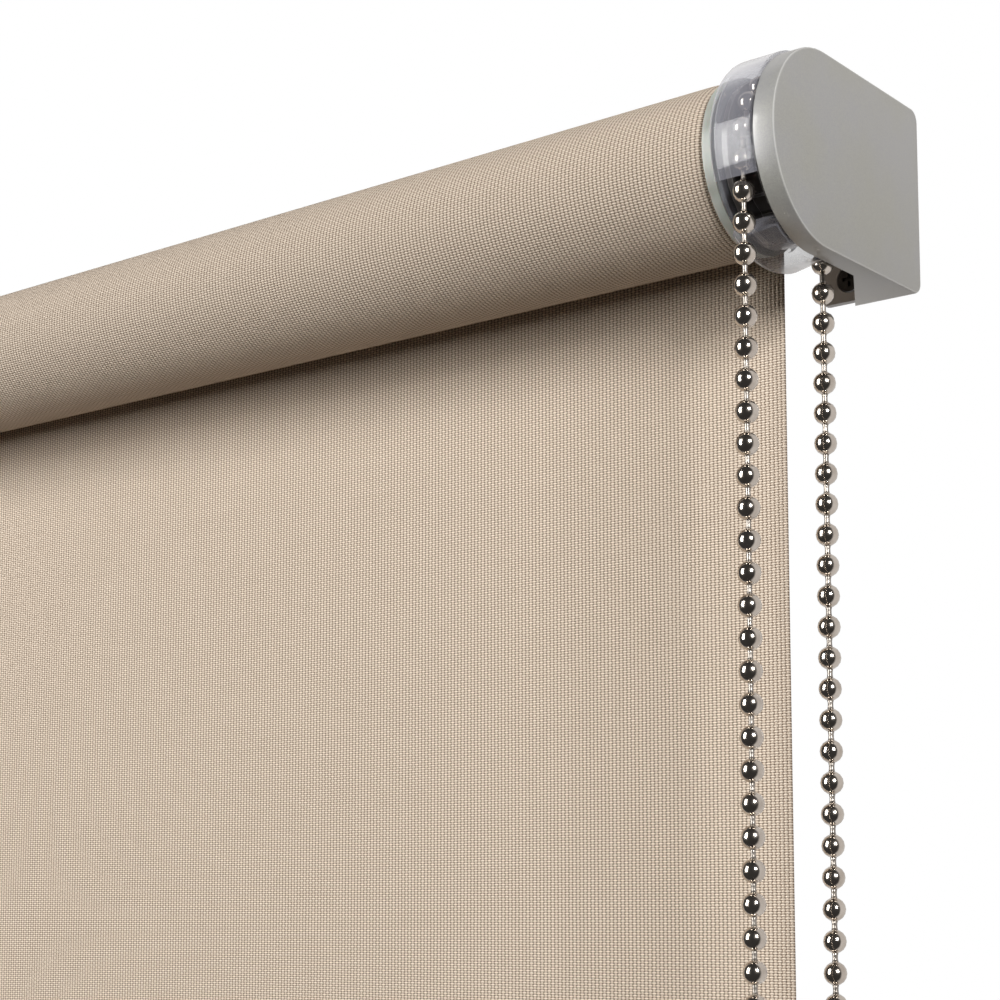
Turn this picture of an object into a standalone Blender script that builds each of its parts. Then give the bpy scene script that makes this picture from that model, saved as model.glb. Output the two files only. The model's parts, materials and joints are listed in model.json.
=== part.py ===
"""A roller blind with a bead-chain control, on two wall brackets.

World frame, in metres: the origin is the centre of the control bracket's wall face, the wall is the
plane y = 0, -Y faces the room, +Z is up, and the blind runs from the control end towards -X.
"""

import math

import bmesh
import bpy
from mathutils import Matrix, Vector

MM = 0.001
FULL_TURN = math.tau
ROUND_STEPS = 48

# ---------------------------------------------------------------- driving sizes
OVERALL_WIDTH = 600 * MM
PROJECTION = 38 * MM
HANGING_DROP = 456 * MM
GAP = 0.3 * MM
BEARING_GAP = 0.35 * MM

# Bracket and cover, the same design at both ends. Depths are measured inwards from the cover's face.
COVER_RADIUS = 19.3 * MM
COVER_WALL = 1.2 * MM
COVER_BACK_GAP = 0.3 * MM
COVER_CORNER_RADIUS = 2.5 * MM
COVER_EDGE_ROUND = 0.45 * MM
RIM_FRONT_DEPTH = 4.4 * MM
RIM_SIDE_DEPTH = 4.3 * MM
GUSSET_DEPTH = 14.4 * MM
GUSSET_START_Y = -20.6 * MM
GUSSET_END_Y = -1.9 * MM
STEEL = 1.6 * MM
PLATE_REACH = 22.6 * MM
PLATE_CORNER_RADIUS = 1.6 * MM
SCREW_HEAD_RADIUS = 2.7 * MM
SCREW_SHANK_RADIUS = 1.5 * MM
SCREW_HEAD_HEIGHT = 1.4 * MM
SCREW_PROUD = 0.2 * MM
SCREW_FROM_PLATE_EDGE = 7.0 * MM
SCREW_HEIGHT = 13.0 * MM

# Roll: a tube with the last wraps of cloth, and the cloth falling from its back.
FACE_TO_CLOTH_IDLE = 14.3 * MM
TUBE_BEYOND_CLOTH = 2.5 * MM
TUBE_RADIUS = 16.0 * MM
TUBE_WALL = 1.0 * MM
CLOTH_THICKNESS = 0.4 * MM
WRAP_GAP = 0.2 * MM
WRAP_THICKNESS = 0.35 * MM

# Bead chain and its wheel.
BALL_DIAMETER = 4.5 * MM
BALL_PITCH = 6.0 * MM
BALLS_IN_LOOP = 160
WHEEL_POCKETS = 15
FACE_TO_CHAIN = 9.5 * MM
WHEEL_FLANGE_RADIUS = 16.0 * MM
WHEEL_FLANGE = 1.15 * MM
WHEEL_SIDE_ROOM = 0.3 * MM
WHEEL_RIB_HEIGHT = 0.4 * MM
WHEEL_RIB_WIDTH = 0.7 * MM
WHEEL_SLEEVE_REACH = 9.8 * MM
JOINER_LENGTH = 13 * MM
JOINER_WALL = 1.0 * MM
JOINER_Z = -410 * MM
CHAIN_OUTLET_Z = -9 * MM

# Clear guard round the wheel.
GUARD_WALL = 0.9 * MM
GUARD_RADIUS = 19.8 * MM
GUARD_SHOULDER = 2.2 * MM
GUARD_RING_BORE = 12.6 * MM
GUARD_HOOD_END = math.radians(25)
KEEL_RADIUS = 21.2 * MM
KEEL_HALF_SWEEP = math.radians(33)
KEEL_ROUND = 2.6 * MM

# Clutch inside the tube.
HUB_RADIUS = 6.0 * MM
HUB_FLANGE_RADIUS = 15.0 * MM
HUB_SQUARE = 10.0 * MM
DRUM_FLANGE = 2.0 * MM
DRUM_FLANGE_RADIUS = 17.2 * MM
DRUM_LENGTH = 31.6 * MM
DRUM_WALL = 3.2 * MM
SLEEVE_WALL = 1.3 * MM
SPRING_WIRE = 1.1 * MM
SPRING_TURNS = 5
SPRING_PITCH = 1.5 * MM
HUB_SCREW_RADIUS = 2.0 * MM
HUB_SCREW_HEAD_RADIUS = 8.3 * MM
HUB_SCREW_HEAD = 1.5 * MM
HUB_SCREW_REACH = 7.5 * MM

# Idle end.
PLUG_FLANGE = 1.9 * MM
PLUG_FLANGE_RADIUS = 16.8 * MM
PLUG_LENGTH = 25 * MM
BUSH_RADIUS = 8.0 * MM
BUSH_WALL = 2.4 * MM
BUSH_END_WALL = 1.4 * MM
BUSH_BEYOND_PLUG = 1.6 * MM
PIN_RADIUS = 4.0 * MM
PIN_COLLAR = 2.0 * MM
PIN_SPRING_WIRE = 0.9 * MM
PIN_SPRING_TURNS = 8

# Bottom bar.
BAR_THICKNESS = 9.6 * MM
BAR_HEIGHT = 26 * MM
BAR_WALL = 1.3 * MM
BAR_ROUND = 4.0 * MM
BAR_CAP = 2.0 * MM
BAR_CAP_TONGUE = 12 * MM
SLOT_DEPTH = 4.2 * MM
CORD_RADIUS = 1.4 * MM

# ---------------------------------------------------------------- sizes worked out from the above
AXIS_Y = -PROJECTION
ARM_FACE_DEPTH = COVER_WALL + GAP + 0.1 * MM
PLATE_NEAR_DEPTH = ARM_FACE_DEPTH - 0.1 * MM
FACE_X = (PLATE_NEAR_DEPTH + PLATE_REACH) / 2
IDLE_FACE_X = FACE_X - OVERALL_WIDTH
TUBE_BORE = TUBE_RADIUS - TUBE_WALL
WRAP_INNER = TUBE_RADIUS + WRAP_GAP
WRAP_OUTER = WRAP_INNER + WRAP_THICKNESS
SHEET_FRONT_Y = AXIS_Y + WRAP_OUTER + WRAP_GAP
SHEET_BACK_Y = SHEET_FRONT_Y + CLOTH_THICKNESS
SHEET_MID_Y = (SHEET_FRONT_Y + SHEET_BACK_Y) / 2
BALL_RADIUS = BALL_DIAMETER / 2
CHAIN_X = FACE_X - FACE_TO_CHAIN
WHEEL_RADIUS = BALL_PITCH / 2 / math.sin(math.pi / WHEEL_POCKETS)
WHEEL_LEFT_IN = CHAIN_X - BALL_RADIUS - WHEEL_SIDE_ROOM
WHEEL_LEFT_OUT = WHEEL_LEFT_IN - WHEEL_FLANGE
WHEEL_RIGHT_IN = CHAIN_X + BALL_RADIUS + WHEEL_SIDE_ROOM + WHEEL_RIB_HEIGHT
WHEEL_RIGHT_OUT = WHEEL_RIGHT_IN + WHEEL_FLANGE
DRUM_RIGHT = WHEEL_LEFT_OUT - 2 * BEARING_GAP - GUARD_WALL - 0.1 * MM
DRUM_FLANGE_LEFT = DRUM_RIGHT - DRUM_FLANGE
DRUM_END = DRUM_FLANGE_LEFT - DRUM_LENGTH
TUBE_RIGHT = DRUM_FLANGE_LEFT - GAP
CLOTH_RIGHT = TUBE_RIGHT - TUBE_BEYOND_CLOTH
CLOTH_LEFT = IDLE_FACE_X + FACE_TO_CLOTH_IDLE
TUBE_LEFT = CLOTH_LEFT - TUBE_BEYOND_CLOTH
STRAND_LENGTH = (BALLS_IN_LOOP * BALL_PITCH - FULL_TURN * WHEEL_RADIUS) / 2
PLATE_HALF_HEIGHT = COVER_RADIUS - COVER_WALL - GAP
ARM_RADIUS = PLATE_HALF_HEIGHT - GAP
ARM_INNER_DEPTH = ARM_FACE_DEPTH + STEEL
BAR_TOP_Z = -HANGING_DROP
BAR_BOTTOM_Z = BAR_TOP_Z - BAR_HEIGHT
SLOT_BOTTOM_Z = BAR_TOP_Z - SLOT_DEPTH


# ---------------------------------------------------------------- helpers
def clear_scene():
    for old in list(bpy.data.objects):
        bpy.data.objects.remove(old, do_unlink=True)


def make_material(name, colour, roughness, metallic=0.0, alpha=1.0):
    material = bpy.data.materials.new(name)
    material.use_nodes = True
    shader = material.node_tree.nodes["Principled BSDF"]
    shader.inputs["Base Color"].default_value = (*colour, 1.0)
    shader.inputs["Roughness"].default_value = roughness
    shader.inputs["Metallic"].default_value = metallic
    shader.inputs["Alpha"].default_value = alpha
    return material


def make_frame(name, location):
    frame = bpy.data.objects.new(name, None)
    frame.location = location
    bpy.context.scene.collection.objects.link(frame)
    return frame


def make_piece(name, bm, material, frame):
    """Turns a bmesh into an object on its frame, with round faces smooth and edges crisp."""
    bmesh.ops.recalc_face_normals(bm, faces=bm.faces)
    mesh = bpy.data.meshes.new(name)
    bm.to_mesh(mesh)
    bm.free()
    mesh.materials.append(material)
    mesh.shade_smooth()
    mesh.set_sharp_from_angle(angle=math.radians(32))
    piece = bpy.data.objects.new(name, mesh)
    piece.parent = frame
    bpy.context.scene.collection.objects.link(piece)
    return piece


def combine(piece, bm, operation):
    """Cuts the bmesh from the piece, or joins it on, with a Boolean that keeps its operand."""
    name = f"{piece.name}_{operation.lower()}_{len(piece.modifiers)}"
    operand = make_piece(name, bm, piece.data.materials[0], piece.parent)
    operand.hide_render = True
    operand.display_type = "WIRE"
    modifier = piece.modifiers.new(name, "BOOLEAN")
    modifier.operation = operation
    modifier.object = operand


def cut(piece, bm):
    combine(piece, bm, "DIFFERENCE")


def join(piece, bm):
    combine(piece, bm, "UNION")


def arc(centre, radius, start, end, steps):
    """Points of an arc, both ends included."""
    angles = [start + (end - start) * step / steps for step in range(steps + 1)]
    return [(centre[0] + radius * math.cos(a), centre[1] + radius * math.sin(a)) for a in angles]


def place(u, v, depth, normal_axis):
    """The point of an outline (u, v) drawn across a world axis, at this depth along it."""
    return {"X": (depth, u, v), "Y": (u, depth, v), "Z": (u, v, depth)}[normal_axis]


def prism(outline, low, high, normal_axis="X", edge_round=0.0):
    """Extrudes an outline from low to high along an axis. The edge at high can be rounded."""
    bm = bmesh.new()
    base = bm.faces.new([bm.verts.new(place(u, v, low, normal_axis)) for u, v in outline])
    made = bmesh.ops.extrude_face_region(bm, geom=[base])["geom"]
    moved = [item for item in made if isinstance(item, bmesh.types.BMVert)]
    travel = Vector(place(0, 0, high - low, normal_axis))
    bmesh.ops.translate(bm, vec=travel, verts=moved)
    if edge_round:
        rim = [edge for edge in bm.edges if all(vert in moved for vert in edge.verts)]
        bmesh.ops.bevel(bm, geom=rim, offset=edge_round, segments=2, profile=0.5, affect="EDGES")
    return bm


def turned(profile, start=0.0, sweep=FULL_TURN, steps=ROUND_STEPS):
    """Spins a closed (x, radius) profile about X. Angles run upwards from the room side.

    A profile that starts and ends on the axis makes a solid round piece.
    """
    bm = bmesh.new()
    across = Vector((0, -math.cos(start), math.sin(start)))
    verts = [bm.verts.new(Vector((x, 0, 0)) + across * radius) for x, radius in profile]
    on_axis = profile[0][1] == 0
    pairs = list(zip(verts, verts[1:])) + ([] if on_axis else [(verts[-1], verts[0])])
    geom = verts + [bm.edges.new(pair) for pair in pairs]
    whole = abs(sweep - FULL_TURN) < 1e-9
    if not whole:
        geom.append(bm.faces.new(verts))
    bmesh.ops.spin(
        bm, geom=geom, cent=(0, 0, 0), axis=(-1, 0, 0), angle=sweep, steps=steps, use_merge=whole
    )
    bmesh.ops.remove_doubles(bm, verts=bm.verts, dist=0.001 * MM)
    return bm


def box(low, high):
    bm = bmesh.new()
    bmesh.ops.create_cube(bm, size=1.0)
    size = Vector(high) - Vector(low)
    middle = (Vector(high) + Vector(low)) / 2
    bmesh.ops.scale(bm, vec=size, verts=bm.verts)
    bmesh.ops.translate(bm, vec=middle, verts=bm.verts)
    return bm


def merge(parts):
    """Puts several separate bodies into one bmesh."""
    whole = bmesh.new()
    for part in parts:
        mesh = bpy.data.meshes.new("merged")
        part.to_mesh(mesh)
        part.free()
        whole.from_mesh(mesh)
        bpy.data.meshes.remove(mesh)
    return whole


def make_tube(name, points, radius, material, frame, bevel_resolution=1):
    """A round wire, cord or spring through the points."""
    curve = bpy.data.curves.new(name, "CURVE")
    curve.dimensions = "3D"
    curve.bevel_depth = radius
    curve.bevel_resolution = bevel_resolution
    curve.use_fill_caps = True
    spline = curve.splines.new("POLY")
    spline.points.add(len(points) - 1)
    for point, place_at in zip(spline.points, points):
        point.co = (*place_at, 1.0)
    spline.use_smooth = True
    curve.materials.append(material)
    tube = bpy.data.objects.new(name, curve)
    tube.parent = frame
    bpy.context.scene.collection.objects.link(tube)
    return tube


def coil(start_x, turns, pitch, radius):
    """Points of a helix about X."""
    steps = 10
    return [
        (
            start_x + pitch * step / steps,
            radius * math.cos(FULL_TURN * step / steps),
            radius * math.sin(FULL_TURN * step / steps),
        )
        for step in range(int(turns * steps) + 1)
    ]


class End:
    """One end of the blind: turns a depth measured inwards from the cover's face into an x."""

    def __init__(self, prefix, face_x, inward):
        self.prefix = prefix
        self.face_x = face_x
        self.inward = inward

    def x(self, depth):
        return self.face_x + self.inward * depth


# ---------------------------------------------------------------- materials
def make_materials():
    return {
        "steel": make_material("dark steel", (0.16, 0.16, 0.165), 0.42, metallic=0.9),
        "cover": make_material("silver grey plastic", (0.40, 0.39, 0.37), 0.38, metallic=0.35),
        "screw": make_material("black screw", (0.02, 0.02, 0.024), 0.4, metallic=0.6),
        "clear": make_material("clear guard", (0.78, 0.79, 0.82), 0.12, alpha=0.4),
        "wheel": make_material("smoke wheel", (0.05, 0.048, 0.046), 0.3),
        "hub": make_material("black nylon", (0.03, 0.03, 0.032), 0.45),
        "drum": make_material("pale acetal", (0.62, 0.66, 0.58), 0.4),
        "spring": make_material("spring steel", (0.55, 0.55, 0.56), 0.3, metallic=1.0),
        "tube": make_material("aluminium", (0.72, 0.72, 0.74), 0.35, metallic=1.0),
        "cloth": make_material("latte cloth", (0.55, 0.46, 0.37), 0.9),
        "bar": make_material("anodised bar", (0.52, 0.51, 0.49), 0.38, metallic=0.9),
        "chain": make_material("nickel chain", (0.66, 0.64, 0.60), 0.12, metallic=1.0),
        "joiner": make_material("clear joiner", (0.80, 0.81, 0.83), 0.1, alpha=0.45),
    }


# ---------------------------------------------------------------- brackets, covers and screws
def d_outline(radius, back_y, corner_radius=0.0, steps=36):
    """A D in (y, z): a half round about the roll's axis, with straight sides back to the wall."""
    quarter = math.pi / 2
    front = arc((AXIS_Y, 0), radius, quarter, 3 * quarter, steps)
    if not corner_radius:
        return front + [(back_y, -radius), (back_y, radius)]
    inset = radius - corner_radius
    low = arc((back_y - corner_radius, -inset), corner_radius, -quarter, 0, 5)
    high = arc((back_y - corner_radius, inset), corner_radius, 0, quarter, 5)
    return front + low + high


def rounded_rectangle(low_u, high_u, low_v, high_v, radius, steps=4):
    quarter = math.pi / 2
    corners = [(high_u, high_v), (low_u, high_v), (low_u, low_v), (high_u, low_v)]
    points = []
    for turn, (u, v) in enumerate(corners):
        centre_u = u - math.copysign(radius, u - (low_u + high_u) / 2)
        centre_v = v - math.copysign(radius, v - (low_v + high_v) / 2)
        centre = (centre_u, centre_v)
        points += arc(centre, radius, turn * quarter, (turn + 1) * quarter, steps)
    return points


def square_outline(side):
    half = side / 2
    return [(-half + AXIS_Y, -half), (half + AXIS_Y, -half), (half + AXIS_Y, half), (-half + AXIS_Y, half)]


def hexagon_outline(radius):
    return arc((AXIS_Y, 0), radius, 0, FULL_TURN * 5 / 6, 5)


def screw_x(end):
    return end.x(PLATE_REACH - SCREW_FROM_PLATE_EDGE)


def cone_across_wall(x, z, front, back):
    """A round cutter or screw part along Y, from (y, radius) front to back."""
    bm = bmesh.new()
    depth = back[0] - front[0]
    bmesh.ops.create_cone(
        bm, cap_ends=True, segments=24, radius1=back[1], radius2=front[1], depth=depth
    )
    turn = Matrix.Rotation(math.pi / 2, 4, "X")
    shift = Matrix.Translation((x, front[0] + depth / 2, z))
    bmesh.ops.transform(bm, matrix=shift @ turn, verts=bm.verts)
    return bm


def make_bracket(end, materials, frame, socket):
    """Folded steel: a plate on the wall and an arm that carries the end of the roll in a socket."""
    plate_ends = sorted((end.x(PLATE_NEAR_DEPTH), end.x(PLATE_REACH)))
    plate = rounded_rectangle(*plate_ends, -PLATE_HALF_HEIGHT, PLATE_HALF_HEIGHT, PLATE_CORNER_RADIUS)
    bracket = make_piece(f"{end.prefix}_bracket", prism(plate, -STEEL, 0, "Y"), materials["steel"], frame)
    arm_ends = sorted((end.x(ARM_FACE_DEPTH), end.x(ARM_INNER_DEPTH)))
    join(bracket, prism(d_outline(ARM_RADIUS, -STEEL / 2), *arm_ends))
    cut(bracket, prism(socket, arm_ends[0] - STEEL, arm_ends[1] + STEEL))
    widest = (-STEEL - SCREW_PROUD, SCREW_HEAD_RADIUS + GAP * 1.4)
    narrowest = (SCREW_PROUD, SCREW_SHANK_RADIUS + GAP * 0.6)
    for z in (-SCREW_HEIGHT, SCREW_HEIGHT):
        cut(bracket, cone_across_wall(screw_x(end), z, widest, narrowest))


def make_wall_screws(end, materials, frame):
    """Countersunk screws, modelled as far as the wall's surface."""
    head_front = -STEEL - SCREW_PROUD / 2
    head_back = head_front + SCREW_HEAD_HEIGHT
    for place_name, z in (("upper", SCREW_HEIGHT), ("lower", -SCREW_HEIGHT)):
        head = cone_across_wall(
            screw_x(end), z, (head_front, SCREW_HEAD_RADIUS), (head_back, SCREW_SHANK_RADIUS)
        )
        screw = make_piece(f"{end.prefix}_wall_screw_{place_name}", head, materials["screw"], frame)
        shank = (SCREW_SHANK_RADIUS * 0.98, head_back - 0.2 * MM)
        join(screw, cone_across_wall(screw_x(end), z, (shank[1], shank[0]), (0, shank[0])))
        slot_half = 0.35 * MM
        for length, width in ((1.6 * MM, slot_half), (slot_half, 1.6 * MM)):
            low = (screw_x(end) - length, head_front - MM, z - width)
            high = (screw_x(end) + length, head_front + 0.6 * MM, z + width)
            cut(screw, box(low, high))


def make_cover(end, materials, frame):
    """A D-shaped cap over the arm. Its top and underside widen into gussets towards the wall."""
    ends = (end.x(GUSSET_DEPTH), end.x(0))
    outer = d_outline(COVER_RADIUS, -COVER_BACK_GAP, COVER_CORNER_RADIUS)
    body = prism(outer, *ends, edge_round=COVER_EDGE_ROUND)
    cover = make_piece(f"{end.prefix}_cover", body, materials["cover"], frame)
    hollow = d_outline(COVER_RADIUS - COVER_WALL, 10 * MM)
    cut(cover, prism(hollow, *sorted((end.x(COVER_WALL), end.x(GUSSET_DEPTH * 2)))))
    beyond = GUSSET_DEPTH * 2
    front_y = AXIS_Y - COVER_RADIUS * 1.2
    rim = [
        (end.x(RIM_FRONT_DEPTH), front_y),
        (end.x(RIM_SIDE_DEPTH), AXIS_Y),
        (end.x(RIM_SIDE_DEPTH), GUSSET_START_Y),
        (end.x(GUSSET_DEPTH - 0.2 * MM), GUSSET_END_Y),
        (end.x(GUSSET_DEPTH - 0.2 * MM), 10 * MM),
        (end.x(beyond), 10 * MM),
        (end.x(beyond), front_y),
    ]
    cut(cover, prism(rim, -COVER_RADIUS * 1.5, COVER_RADIUS * 1.5, "Z"))


# ---------------------------------------------------------------- chain guard
def make_guard(end, materials, frame):
    """Clear plastic: a ring beside the wheel, a hood over the beads and a keel between the strands."""
    ring_left = WHEEL_LEFT_OUT - BEARING_GAP - GUARD_WALL
    ring_right = ring_left + GUARD_WALL
    lip = end.x(RIM_FRONT_DEPTH) - GAP
    spigot_end = end.x(ARM_INNER_DEPTH) - GAP
    spigot_outer = COVER_RADIUS - COVER_WALL - GAP
    spigot_inner = spigot_outer - GUARD_WALL
    overlap = 0.05 * MM
    hood_inner = GUARD_RADIUS - GUARD_WALL
    shoulder = (ring_left - overlap + GUARD_SHOULDER, GUARD_RADIUS - GUARD_SHOULDER)
    ring_outer = GUARD_RADIUS - GUARD_SHOULDER + MM

    ring = ring_profile(ring_left, ring_right, GUARD_RING_BORE, ring_outer - MM)
    guard = make_piece("chain_guard", turned(ring), materials["clear"], frame)

    inner_shoulder = GUARD_SHOULDER - GUARD_WALL
    hood = (
        arc(shoulder, GUARD_SHOULDER, math.pi, math.pi / 2, 5)
        + [(lip, GUARD_RADIUS), (lip, spigot_outer), (spigot_end, spigot_outer), (spigot_end, spigot_inner)]
        + [(lip - GUARD_WALL, spigot_inner), (lip - GUARD_WALL, hood_inner)]
        + arc(shoulder, inner_shoulder, math.pi / 2, math.pi, 4)
        + [(ring_right + overlap, ring_outer - 2.5 * MM), (ring_left - overlap, ring_outer - 2.5 * MM)]
    )
    sweep = math.pi + 2 * GUARD_HOOD_END
    join(guard, turned(hood, -GUARD_HOOD_END, sweep, 36))

    keel_left = ring_left - 2 * overlap
    keel_inner = ring_outer - 2.2 * MM
    corner = (keel_left + KEEL_ROUND, KEEL_RADIUS - KEEL_ROUND)
    keel = (
        [(keel_left, keel_inner)]
        + arc(corner, KEEL_ROUND, math.pi, math.pi / 2, 5)
        + [(lip - 2 * overlap, GUARD_RADIUS + overlap), (lip - 2 * overlap, spigot_outer - overlap)]
        + [(spigot_end - overlap, spigot_outer - overlap), (spigot_end - overlap, spigot_inner + overlap)]
        + [(lip - GUARD_WALL, spigot_inner + overlap), (lip - GUARD_WALL, keel_inner)]
    )
    join(guard, turned(keel, -math.pi / 2 - KEEL_HALF_SWEEP, 2 * KEEL_HALF_SWEEP, 14))


# ---------------------------------------------------------------- clutch
def make_chain_wheel(materials, frame):
    """Two flanges with a ribbed floor between them, and a sleeve that drives the brake springs."""
    bore = HUB_RADIUS + BEARING_GAP
    floor = WHEEL_RADIUS - BALL_RADIUS - GAP - WHEEL_RIB_HEIGHT
    sleeve_inner = HUB_RADIUS + 1.5 * BEARING_GAP + SPRING_WIRE + GAP
    sleeve_outer = sleeve_inner + SLEEVE_WALL
    sleeve_end = WHEEL_LEFT_OUT - WHEEL_SLEEVE_REACH
    profile = [
        (WHEEL_RIGHT_OUT, bore),
        (WHEEL_RIGHT_OUT, WHEEL_FLANGE_RADIUS),
        (WHEEL_RIGHT_IN, WHEEL_FLANGE_RADIUS),
        (WHEEL_RIGHT_IN, floor),
        (WHEEL_LEFT_IN, floor),
        (WHEEL_LEFT_IN, WHEEL_FLANGE_RADIUS),
        (WHEEL_LEFT_OUT, WHEEL_FLANGE_RADIUS),
        (WHEEL_LEFT_OUT, sleeve_outer),
        (sleeve_end, sleeve_outer),
        (sleeve_end, sleeve_inner),
        (WHEEL_LEFT_OUT - WHEEL_FLANGE, sleeve_inner),
        (WHEEL_LEFT_OUT - WHEEL_FLANGE, bore),
    ]
    wheel = make_piece("chain_wheel", turned(profile), materials["wheel"], frame)
    rib = [
        (WHEEL_LEFT_IN - 0.2 * MM, floor - 0.4 * MM),
        (WHEEL_RIGHT_IN + 0.2 * MM, floor - 0.4 * MM),
        (WHEEL_RIGHT_IN + 0.2 * MM, WHEEL_FLANGE_RADIUS - 0.5 * MM),
        (WHEEL_RIGHT_IN - WHEEL_RIB_HEIGHT, WHEEL_FLANGE_RADIUS - 0.5 * MM),
        (WHEEL_RIGHT_IN - WHEEL_RIB_HEIGHT, floor + WHEEL_RIB_HEIGHT),
        (WHEEL_LEFT_IN - 0.2 * MM, floor + WHEEL_RIB_HEIGHT),
    ]
    ribs = []
    for pocket in range(WHEEL_POCKETS):
        blade = prism(rib, -WHEEL_RIB_WIDTH / 2, WHEEL_RIB_WIDTH / 2, "Z")
        turn = Matrix.Rotation(FULL_TURN * (pocket + 0.5) / WHEEL_POCKETS, 4, "X")
        bmesh.ops.transform(blade, matrix=turn, verts=blade.verts)
        ribs.append(blade)
    join(wheel, merge(ribs))


def make_drum(materials, frame):
    """The adaptor that plugs into the tube, with the pale flange that closes the tube's end."""
    outer = TUBE_BORE - GAP
    inner = outer - DRUM_WALL
    mouth = HUB_RADIUS + BEARING_GAP * 2 + SPRING_WIRE + SLEEVE_WALL + GAP * 2
    end_wall = 1.5 * MM
    profile = [
        (DRUM_RIGHT, mouth),
        (DRUM_RIGHT, DRUM_FLANGE_RADIUS),
        (DRUM_FLANGE_LEFT, DRUM_FLANGE_RADIUS),
        (DRUM_FLANGE_LEFT, outer),
        (DRUM_END, outer),
        (DRUM_END, HUB_RADIUS + BEARING_GAP),
        (DRUM_END + end_wall, HUB_RADIUS + BEARING_GAP),
        (DRUM_END + end_wall, inner),
        (DRUM_FLANGE_LEFT - MM, inner),
        (DRUM_FLANGE_LEFT - MM, mouth),
    ]
    make_piece("drive_drum", turned(profile), materials["drum"], frame)


def make_hub(end, materials, frame):
    """The still core of the clutch, keyed into the control bracket's arm by a square."""
    flange_left = WHEEL_RIGHT_OUT + BEARING_GAP
    flange_right = end.x(ARM_INNER_DEPTH) - GAP
    far_end = DRUM_END - MM
    bore = HUB_SCREW_RADIUS + GAP
    profile = [
        (flange_right, 0),
        (flange_right, HUB_FLANGE_RADIUS),
        (flange_left, HUB_FLANGE_RADIUS),
        (flange_left, HUB_RADIUS),
        (far_end, HUB_RADIUS),
        (far_end, bore),
        (far_end + HUB_SCREW_REACH + GAP, bore),
        (far_end + HUB_SCREW_REACH + GAP, 0),
    ]
    hub = make_piece("clutch_hub", turned(profile), materials["hub"], frame)
    half = HUB_SQUARE / 2
    join(hub, box((flange_right - MM, -half, -half), (end.x(ARM_FACE_DEPTH), half, half)))

    head_right = far_end - GAP
    head_left = head_right - HUB_SCREW_HEAD
    screw = [
        (head_left, 0),
        (head_left, HUB_SCREW_HEAD_RADIUS * 0.9),
        (head_left + 0.5 * MM, HUB_SCREW_HEAD_RADIUS),
        (head_right, HUB_SCREW_HEAD_RADIUS),
        (head_right, HUB_SCREW_RADIUS),
        (far_end + HUB_SCREW_REACH, HUB_SCREW_RADIUS),
        (far_end + HUB_SCREW_REACH, 0),
    ]
    make_piece("hub_screw", turned(screw), materials["spring"], frame)


def make_brake_springs(materials, frame):
    """Two wrap springs that grip the hub until the chain wheel turns them."""
    radius = HUB_RADIUS + 1.5 * BEARING_GAP + SPRING_WIRE / 2
    first = WHEEL_LEFT_OUT - WHEEL_SLEEVE_REACH - MM - SPRING_TURNS * SPRING_PITCH
    for number, start in enumerate((first, first - MM - (SPRING_TURNS + 1) * SPRING_PITCH), 1):
        points = coil(start, SPRING_TURNS, SPRING_PITCH, radius)
        make_tube(f"brake_spring_{number}", points, SPRING_WIRE / 2, materials["spring"], frame)


# ---------------------------------------------------------------- roll, cloth and bottom bar
def ring_profile(left, right, inner, outer):
    return [(left, inner), (right, inner), (right, outer), (left, outer)]


def make_roll(materials, frame):
    tube = ring_profile(TUBE_LEFT, TUBE_RIGHT, TUBE_BORE, TUBE_RADIUS)
    make_piece("roller_tube", turned(tube), materials["tube"], frame)
    wraps = ring_profile(CLOTH_LEFT, CLOTH_RIGHT, WRAP_INNER, WRAP_OUTER)
    make_piece("wound_fabric", turned(wraps), materials["cloth"], frame)


def make_hanging_cloth(materials, frame):
    low = (CLOTH_LEFT, SHEET_FRONT_Y, SLOT_BOTTOM_Z + GAP)
    high = (CLOTH_RIGHT, SHEET_BACK_Y, 0)
    make_piece("hanging_fabric", box(low, high), materials["cloth"], frame)


def bar_outline():
    half = BAR_THICKNESS / 2
    return rounded_rectangle(
        SHEET_MID_Y - half, SHEET_MID_Y + half, BAR_BOTTOM_Z, BAR_TOP_Z, BAR_ROUND, steps=6
    )


def bar_hollow(clearance):
    """The lower chamber of the bar, which the end caps plug into."""
    half = BAR_THICKNESS / 2 - BAR_WALL - clearance
    top = SLOT_BOTTOM_Z - 2 * CORD_RADIUS - 2 * GAP - BAR_WALL - clearance
    return rounded_rectangle(
        SHEET_MID_Y - half,
        SHEET_MID_Y + half,
        BAR_BOTTOM_Z + BAR_WALL + clearance,
        top,
        BAR_ROUND - BAR_WALL,
    )


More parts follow.
